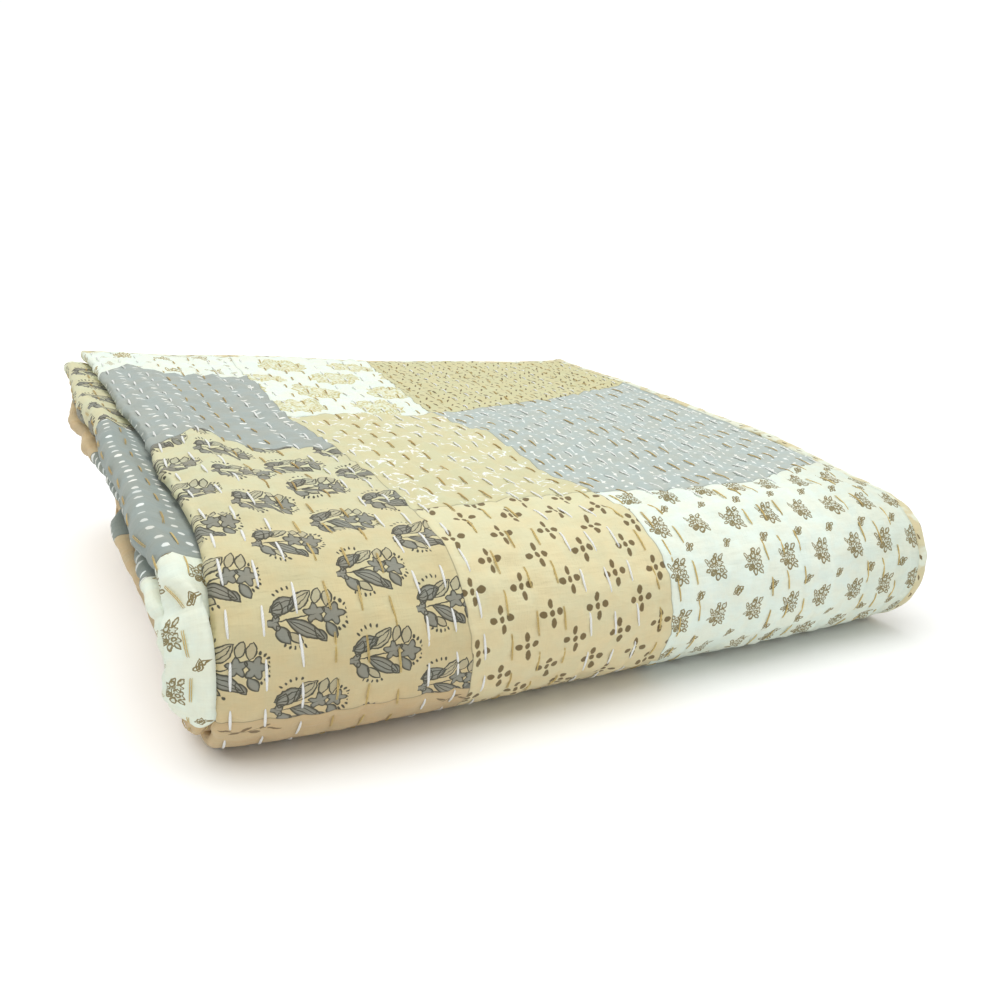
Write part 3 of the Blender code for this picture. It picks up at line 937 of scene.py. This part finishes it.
# Repeats in mm: pitch, first motif, drop of every other column, wobble of the edges
repeats = {
    "palm": ((29.3, 35.5), (20.3, 15.7), 0.5, 1.1), "quatrefoil": ((11.65, 27.4), (122.2, 371.3), 0.5, 0.9),
    "floral": ((22.3, 26.2), (220.8, 376.6), 0.0, 1.4), "floralBud": ((22.3, 26.2), (231.9, 363.5), 0.0, 1.4),
    "sprig": ((25.0, 41.0), (35.5, -1.5), 0.0, 1.8), "sprigBud": ((25.0, 20.5), (23.0, 7.0), 0.5, 1.8),
    "bloom": ((50.0, 80.0), (125.0, 34.0), 0.0, 2.4), "bloomBetween": ((50.0, 80.0), (100.0, -6.0), 0.0, 2.4),
    "brush": ((23.0, 25.0), (94.0, 232.0), 0.5, 4.0), "brushSmall": ((17.0, 19.0), (88.0, 240.0), 0.5, 4.0),
    "dash": ((5.9, 7.2), (0, 0), 0.5, 1.2), "tick": ((11.9, 7.6), (5.95, 0), 0.0, 1.0),
    "dot": ((5.95, 7.6), (0, 0), 0.5, 0.8), "dotDash": ((11.9, 14.0), (2.9, 3.0), 0.5, 1.0),
    "vine": ((86.0, 24.0), (-29.0, 425.0), 0.0, 2.0), "binding": ((4.0, 13.0), (0, 0), 0.5, 1.5),
}
flowered = {
    "floral": {"line": 0.35, "budLine": 0.35, "bud": 1.0, "fill": 0.20, "inks": ("floral", "floral")},
    "sprig": {"line": 0.34, "budLine": 0.30, "bud": 0.6, "fill": 0.30, "inks": ("gold", "sprig")},
}


# Point within one cell of a repeat, and that cell's random number
def repeatAt(k, point, name):
    (pitchX, pitchY), (startX, startY), drop, wobble = repeats[name]
    return k.group(repeatGroup, Point=point, Drop=drop, Wobble=wobble * mm, **{
        "Pitch X": pitchX * mm, "Pitch Y": pitchY * mm, "Start X": startX * mm, "Start Y": startY * mm})


# Shapes of one kind, a row each: x, y, turn, then the kind's own sizes, in mm and degrees
def shapes(k, point, kind, *rows):
    units = {"Turn": math.pi / 180, "Step": math.pi / 180, "Petals": 1, "Depth": 1, "Reach": 1}
    names = ["X", "Y", "Turn"] + shapeKinds[kind][0]
    sized = [{name: value * units.get(name, mm) for name, value in zip(names, row)} for row in rows]
    return [k.group(shapeGroups[kind], Point=point, **values)[0] for values in sized]


# Ink masks of a set of shapes: solid inside, and a line of a given width round each
def solid(k, fields, edge=0.12):
    return 1.0 - k.step(k.lowest(*fields), -edge * mm, edge * mm)


def outline(k, fields, width):
    rims = [k.calc("ABSOLUTE", field) for field in fields]
    return 1.0 - k.step(k.lowest(*rims), width * mm * 0.6, width * mm * 1.25)


# Ground in lit and shaded copies, painted light and shade: cooler over the top, warmer down the front, and
# painted peach shade low on it
def litShadedGround(k, point, top, front, low=0.55):
    along = k.split(point)[1]
    # painted light and shade: the top and front copies, then peach shade low on the front
    ground = k.mix(k.step(along, 0.27, 0.40), inks[top], inks[front])
    return k.mix(k.step(along, 0.375, 0.435) * low, ground, inks["peach"])


# White ground with painted shade: warmer and a touch darker on the rolls, and darker low on the front and at
# the right end, where less light falls
def whiteGround(k, point):
    x, along = k.split(point)
    ground = k.mix(k.step(x, -0.2, -0.4), inks["white"], inks["whiteRollShade"])
    # painted shade low on the front and at the right end
    dim = k.highest(k.step(along, 0.40, 0.47) * 0.45, k.step(x, 0.29, 0.37) * 0.6)
    return k.mix(dim, ground, inks["whiteLowShade"])


def printBeigePalm(k, point):
    p = repeatAt(k, point, "palm")[0]
    filled = shapes(k, p, "leaf", (-8.4, 5.0, 22, 5.6, 3.1), (-10.6, 3.4, 70, 3.4, 1.9),
                    (-1.2, -4.6, -32, 7.6, 2.7), (-9.4, -6.0, -58, 4.2, 2.4), (8.4, -5.6, -62, 3.6, 1.9),
                    (4.2, -7.2, -52, 3.2, 1.6))
    filled += shapes(k, p, "flower", (2.8, 1.2, 20, 3.2, 5, 0.26), (9.6, 0.4, 0, 3.5, 5, 0.28),
                     (-12.4, -1.4, 60, 2.3, 3, 0.34))
    opened = shapes(k, p, "leaf", (-2.2, 6.4, 40, 5.8, 2.7), (-5.0, -7.6, -40, 3.4, 1.6),
                    (8.4, 6.9, 74, 3.5, 1.9), (4.4, 7.8, 66, 3.4, 1.8))
    veins = shapes(k, p, "leaf", (-8.4, 5.0, 22, 4.8, 1.1), (-2.2, 6.4, 40, 4.8, 1.0),
                   (-1.2, -4.6, -32, 6.2, 0.9), (-5.0, -0.2, 8, 5.4, 0.14))
    dots = shapes(k, p, "spray", (9.0, 0.2, 0, 6.2, 17, 4, 0.85, 0.50),
                  (-5.0, 3.4, 108, 8.6, 14, 2, 0.8, 0.45), (-4.4, -3.4, 262, 8.0, 14, 2, 0.8, 0.45))
    core = k.step(k.lowest(*filled), -0.10 * mm, -1.00 * mm)
    line = k.highest(outline(k, filled + opened, 0.34), outline(k, veins, 0.22))
    colour = litShadedGround(k, point, "beigeTop", "beige")
    colour = k.mix(solid(k, opened) * 0.42, colour, inks["greyCore"])
    colour = k.mix(solid(k, filled), colour, k.mix(core, inks["greyEdge"], inks["greyCore"]))
    return k.mix(k.highest(line, solid(k, dots)), colour, inks["charcoal"])


def printBeigeDot(k, point):
    p = repeatAt(k, point, "quatrefoil")[0]
    dots = shapes(k, p, "oval", (0, 0, 80, 1.45, 1.05), (-3.9, -0.3, 10, 1.55, 1.5), (3.9, 0.5, 0, 1.6, 1.6),
                  (-0.3, 4.3, 86, 2.0, 1.1), (0.5, -4.4, 84, 2.1, 1.1))
    colour = k.mix(solid(k, dots, 0.16), litShadedGround(k, point, "creamTop", "cream", 0.30), inks["brown"])
    return k.mix(outline(k, dots, 0.16) * 0.5, colour, inks["darkBrown"])


# Flowers and buds in outline over a faint fill, on white
def printFlowers(k, point, name):
    look = flowered[name]
    p, q = repeatAt(k, point, name)[0], repeatAt(k, point, name + "Bud")[0]
    flowers = shapes(k, p, "flower", (-2.2, 1.5, 15, 2.1, 5, 0.24), (2.1, -1.5, 50, 2.3, 5, 0.24),
                     (2.4, 2.7, 0, 1.5, 5, 0.24))
    flowers += shapes(k, p, "oval", (-2.2, 1.5, 0, 0.8, 0.7), (2.1, -1.5, 0, 0.9, 0.8),
                      (-1.9, -2.2, 40, 1.7, 1.2), (-1.9, -2.2, 40, 0.8, 0.5), (0.2, -4.6, 80, 1.6, 1.0),
                      (-0.1, 4.1, 70, 1.8, 1.1))
    flowers += shapes(k, p, "leaf", (0.6, 6.0, 60, 1.8, 0.8), (3.6, 5.4, 50, 2.2, 0.9),
                      (-4.4, 4.0, 120, 1.6, 0.8), (3.4, -4.6, -50, 1.6, 0.8), (-4.6, -1.0, 200, 1.5, 0.7))
    buds = shapes(k, q, "leaf", (0, 0, 84, 2.6, 1.3), (1.5, 1.0, 36, 1.5, 0.7), (-1.3, -1.2, 214, 1.4, 0.7),
                  (0, 0, 84, 1.4, 0.3))
    line = k.highest(outline(k, flowers, look["line"]), outline(k, buds, look["budLine"]) * look["bud"])
    fillInk, lineInk = look["inks"]
    ground = k.mix(solid(k, flowers) * look["fill"], whiteGround(k, point), inks[fillInk])
    return k.mix(line, ground, inks[lineInk])


def printWhiteBloom(k, point):
    discs, lines = [], []
    for name in ("bloom", "bloomBetween"):
        p = repeatAt(k, point, name)[0]
        disc, inner = shapes(k, p, "flower", (0, 0, 0, 15.5, 12, 0.07), (0, 0, 15, 9.5, 8, 0.14))
        heart = shapes(k, p, "oval", (0, 0, 0, 4.2, 3.8))[0]
        petals = shapes(k, p, "spray", (0, 0, 10, 12.6, 20, 8, 2.2, 1.3))
        discs.append(solid(k, [disc], 0.5))
        lines += [outline(k, [disc, inner, heart], 0.6), outline(k, petals, 0.45)]
    speckle = k.step(k.noise(point, 520.0), 0.42, 0.58)
    fill = k.highest(*discs) * (speckle * 0.55 + 0.20)
    line = k.highest(*lines) * (speckle * 0.45 + 0.55)
    return k.mix(line, k.mix(fill, inks["white"], inks["gold"]), inks["goldLine"])


def printTanBrush(k, point):
    p, q = repeatAt(k, point, "brush")[0], repeatAt(k, point, "brushSmall")[0]
    marks = shapes(k, p, "leaf", (0, 0, 70, 3.8, 0.8), (2.0, 0.4, 8, 4.2, 0.7), (-4.0, 3.0, 130, 3.0, 0.7),
                   (4.4, -3.4, -40, 2.8, 0.7))
    marks += shapes(k, p, "oval", (-5.6, -3.6, 0, 1.1, 0.8), (7.2, 4.6, 0, 1.0, 0.7))
    marks += shapes(k, q, "leaf", (0, 0, 96, 2.2, 0.6), (4.6, 3.2, 20, 1.8, 0.5), (-4.0, -4.4, 140, 1.7, 0.5))
    arc = outline(k, shapes(k, p, "oval", (1.0, 1.0, 24, 8.6, 6.2)), 0.5)
    broken = k.step(k.noise(point, 300.0), 0.38, 0.48)
    gaps = k.step(k.noise(point, 110.0), 0.52, 0.58)
    return k.mix(k.highest(solid(k, marks, 0.25) * broken, arc * gaps), inks["tan"], inks["whitePrint"])


def printTanDash(k, point):
    p, seed = repeatAt(k, point, "dash")
    side = k.step(seed, 0.45, 0.55)
    one, two = shapes(k, p, "leaf", (0, 0, 62, 2.3, 0.62), (0, 0, 118, 2.3, 0.62))
    return k.mix(solid(k, [one * side + two * (1.0 - side)]), inks["brownTan"], inks["darkBrown"])


# Flat ticks on the top and rounder ones on the rolls; the grey ground is painted shade there, darker on the
# rolls and darker still on the lower ones
def printGreyTick(k, point):
    p, seed = repeatAt(k, point, "tick")
    x = k.split(point)[0]
    onRoll = k.step(x, -0.2, -0.4)
    flat, full = shapes(k, p, "oval", (0, 0, -12, 1.85, 0.78), (0, 0, 0, 1.5, 1.15))
    tick = solid(k, [flat * (1.0 - onRoll) + full * onRoll]) * (k.step(seed, 0.2, 0.8) * 0.35 + 0.65)
    # painted shade: the grey ground is darkened on the rolls and more on the lower ones
    ground = k.mix(onRoll, inks["grey"], inks["greyRollShade"])
    ground = k.mix(k.step(x, -1.0, -1.2), ground, inks["greyLowShade"])
    return k.mix(tick, ground, inks["whitePrint"])


def printGreyDot(k, point):
    dots = solid(k, shapes(k, repeatAt(k, point, "dot")[0], "oval", (0, 0, 0, 0.95, 0.80)))
    dash = solid(k, shapes(k, repeatAt(k, point, "dotDash")[0], "leaf", (0, 0, 84, 3.4, 0.42)))
    return k.mix(k.highest(dots, dash * 0.8), inks["greyLight"], inks["whitePrint"])


# Peach band with dark vine leaves; the peach is partly print colour and partly painted shade
def printVineBand(k, point):
    p = repeatAt(k, point, "vine")[0]
    leaves = shapes(k, p, "leaf", (-8.6, 1.4, 150, 2.8, 0.7), (-5.2, -1.2, 205, 2.8, 0.7),
                    (-1.6, 1.7, 35, 2.6, 0.7), (2.0, -1.4, -25, 2.8, 0.8), (5.4, 1.5, 50, 2.6, 0.7),
                    (9.0, -0.2, 8, 2.8, 0.6), (0, 0, 3, 9.5, 0.2))
    return k.mix(solid(k, leaves) * 0.85, inks["peach"], inks["vine"])


def printBinding(k, point):
    p, seed = repeatAt(k, point, "binding")
    marks = solid(k, shapes(k, p, "leaf", (0, 0, 80, 2.2, 0.5)))
    ground = k.mix(k.step(k.noise(point, 70.0), 0.46, 0.56), inks["bindingTan"], inks["bindingWhite"])
    return k.mix(marks * k.step(seed, 0.35, 0.4), ground, inks["brown"])


printMakers = {
    "whiteSprig": lambda k, point: printFlowers(k, point, "sprig"), "greyTick": printGreyTick,
    "beigePalm": printBeigePalm, "vineBand": printVineBand, "whiteBloom": printWhiteBloom,
    "tanBrush": printTanBrush, "beigeDot": printBeigeDot, "tanDash": printTanDash,
    "greyDot": printGreyDot, "whiteFloral": lambda k, point: printFlowers(k, point, "floral"),
    "backing": lambda k, point: inks["backing"],
}
finishes = {
    "cloth": {"roughness": 0.88, "sheen": 0.12, "bump": 0.001, "slub": 0.06, "pucker": 0.55},
    "binding": {"roughness": 0.88, "sheen": 0.12, "bump": 0.001, "slub": 0.06, "pucker": 0.90},
    "thread": {"roughness": 0.70, "sheen": 0.20, "bump": 0.00006, "turns": 2, "twist": 5200.0},
}


# Matt cotton with a little sheen: build(sketch, map) gives its colour and bump height
def cottonMaterial(name, finish, build):
    material = bpy.data.materials.new(name)
    material.use_nodes = True
    k = Sketch(material.node_tree)
    colour, height = build(k, k.add("UVMap", uv_map="clothMap"))
    bump = k.add("Bump")
    bumpInputs = bump.socket.node.inputs
    k.feed(bumpInputs["Distance"], finish["bump"])
    k.feed(bumpInputs["Height"], height)
    shader = material.node_tree.nodes["Principled BSDF"].inputs
    k.feed(shader["Base Color"], colour)
    k.feed(shader["Normal"], bump)
    k.feed(shader["Roughness"], finish["roughness"])
    k.feed(shader["Sheen Weight"], finish["sheen"])
    return material


def clothMaterial(name, paint, kind, hasSeams):
    finish = finishes[kind]

    def build(k, point):
        seam = k.add("Attribute", out="Fac", attribute_name="seamGap") if hasSeams else 10 * mm
        return k.group(weaveGroup, Colour=paint(k, point), Point=point, Seam=seam,
                       Slub=finish["slub"], Pucker=finish["pucker"])
    return cottonMaterial(name, finish, build)


# Two-ply thread: twist = sin(turns x angle + length); tone from each stitch's shade value, which mixes
# painted shade by place with random tone, and a little darker in the twist's grooves as painted shade
def threadMaterial(name, light, dark):
    finish = finishes["thread"]

    def build(k, point):
        x, y = k.split(point)
        twist = k.calc("SINE", x * (2 * math.pi * finish["turns"]) + y * finish["twist"])
        shade = k.add("Attribute", out="Fac", attribute_name="shade")
        tone = k.mix(k.calc("MULTIPLY_ADD", shade, 0.5, 0.5, clamp=True), inks[light], inks[dark])
        # painted shade: the tone is up to 3% darker in the twist's grooves
        return k.scale(tone, twist * 0.03 + 0.97), twist
    return cottonMaterial(name, finish, build)


finalNormals = gridNormals(outerFace)
quiltCloth = makeQuilt()
for name in printNames:
    quiltCloth.data.materials.append(clothMaterial(name, printMakers[name], "cloth", True))
print("quilt:", len(quiltCloth.data.polygons), "faces")

stitches = stitchList()
isMustard = stitches[:, 4] > 0.5
whiteStitches = makeThreads("whiteStitches", stitches[~isMustard], "white")
whiteStitches.data.materials.append(threadMaterial("white thread", "whiteThread", "whiteShade"))
mustardStitches = makeThreads("mustardStitches", stitches[isMustard], "mustard")
mustardStitches.data.materials.append(threadMaterial("mustard thread", "mustardThread", "mustardShade"))
print("stitches:", len(stitches))

bindings = {
    "binding_side_outer": makeSideStrip("bindingSideOuter", fold["width"], 0, 21),
    "binding_side_inner": makeSideStrip("bindingSideInner", fold["width"] - fold["backInset"], 5, 23),
    "binding_end_outer": makeEndStrip("bindingEndOuter", 0.0, 1, 25),
    "binding_end_inner": makeEndStrip("bindingEndInner", pathEnd, -1, 27),
}
for node, piece in bindings.items():
    piece.data.materials.append(clothMaterial(node, printBinding, "binding", False))
    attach(piece, "root")
    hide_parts(node)
print("bindings:", len(bindings))

for piece in (quiltCloth, whiteStitches, mustardStitches):
    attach(piece, "root")
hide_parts("quilt")

studio = {
    "floorSize": 6.0, "floorTone": 1.0, "floorBounce": 0.80, "farGlow": 0.40, "farFrom": 0.45, "farTo": 1.6,
    "worldTone": (0.985, 1.0, 0.985), "worldStrength": 0.69, "worldLean": 0.10, "backdrop": 1.05,
}
lamps = {
    "key": {"power": 1.30, "spread": 34, "from": (0.04, 0.12, 1.0), "floor": "EXCLUDE"},
    "floor light": {"power": 1.80, "spread": 60, "from": (-0.35, 0.0, 1.0), "floor": "INCLUDE"},
}
camera = {"place": (-0.070, -0.330, 0.215), "yaw": 28.75, "pitch": 16.02, "roll": 2.0, "lens": 35.55}


# Floor paper: white to the camera, duller for the light that it sends back up, and
# glowing a little more with distance so that it meets the backdrop
def makeFloor():
    size = studio["floorSize"]
    points = np.array([(-size, -size, 0), (size, -size, 0), (size, size, 0), (-size, size, 0)], dtype=float)
    floor = meshObject("floor", points, [(0, 1, 2, 3)], smoothFaces=False)
    material = bpy.data.materials.new("floor paper")
    material.use_nodes = True
    k = Sketch(material.node_tree)
    seen = k.add("LightPath", out="Is Camera Ray")
    tone, bounce = studio["floorTone"], studio["floorBounce"]
    distance = k.add("VectorMath", k.add("TexCoord", out="Object"), out="Value", operation="LENGTH")
    far = k.step(distance, studio["farFrom"], studio["farTo"])
    shader = material.node_tree.nodes["Principled BSDF"].inputs
    k.feed(shader["Base Color"], k.mix(seen, (bounce, bounce, bounce, 1), (tone, tone, tone, 1)))
    k.feed(shader["Emission Strength"], seen * (far * studio["farGlow"]))
    k.feed(shader["Emission Color"], (1, 1, 1, 1))
    k.feed(shader["Roughness"], 0.9)
    k.feed(shader["Specular IOR Level"], 0.1)
    floor.data.materials.append(material)
    return floor


# One lamp lights the cloth and another the floor, so that the shadow on the floor stays
# close under the front
def makeLamp(name, floor):
    lamp = lamps[name]
    light = bpy.data.lights.new(name, "SUN")
    light.energy = lamp["power"]
    light.angle = math.radians(lamp["spread"])
    item = addToScene(name, light)
    item.rotation_euler = Vector(lamp["from"]).to_track_quat("Z", "Y").to_euler()
    lit = bpy.data.collections.new(name + " receivers")
    lit.objects.link(floor)
    item.light_linking.receiver_collection = lit
    lit.collection_objects[0].light_linking.link_state = lamp["floor"]


# Even pale room, a little brighter towards +x, with its own strength as the backdrop
def makeWorld():
    world = bpy.data.worlds.new("studio")
    world.use_nodes = True
    k = Sketch(world.node_tree)
    back = world.node_tree.nodes["Background"].inputs
    side = k.split(k.add("TexCoord", out="Generated"))[0]
    lit = (side * studio["worldLean"] + 1.0) * studio["worldStrength"]
    seen = k.add("LightPath", out="Is Camera Ray")
    k.feed(back["Color"], (*studio["worldTone"], 1))
    k.feed(back["Strength"], k.add("Mix", seen, None, lit, studio["backdrop"], data_type="FLOAT"))
    bpy.context.scene.world = world


# Camera turned by yaw from the y axis towards x, pitched down and rolled
def makeCamera():
    yaw, pitch, roll = (math.radians(camera[key]) for key in ("yaw", "pitch", "roll"))
    data = bpy.data.cameras.new("camera")
    data.lens = camera["lens"]
    data.sensor_width = 36
    data.clip_start = 0.01
    view = addToScene("camera", data)
    turn = Matrix.Rotation(-yaw, 4, "Z") @ Matrix.Rotation(math.pi / 2 - pitch, 4, "X")
    turn = turn @ Matrix.Rotation(roll, 4, "Z")
    view.matrix_world = Matrix.Translation(Vector(camera["place"]) + Vector(origin)) @ turn
    bpy.context.scene.camera = view


floor = makeFloor()
makeWorld()
for name in lamps:
    makeLamp(name, floor)
makeCamera()
bpy.context.scene.view_settings.view_transform = "Standard"
print("studio: floor, lamps and camera")
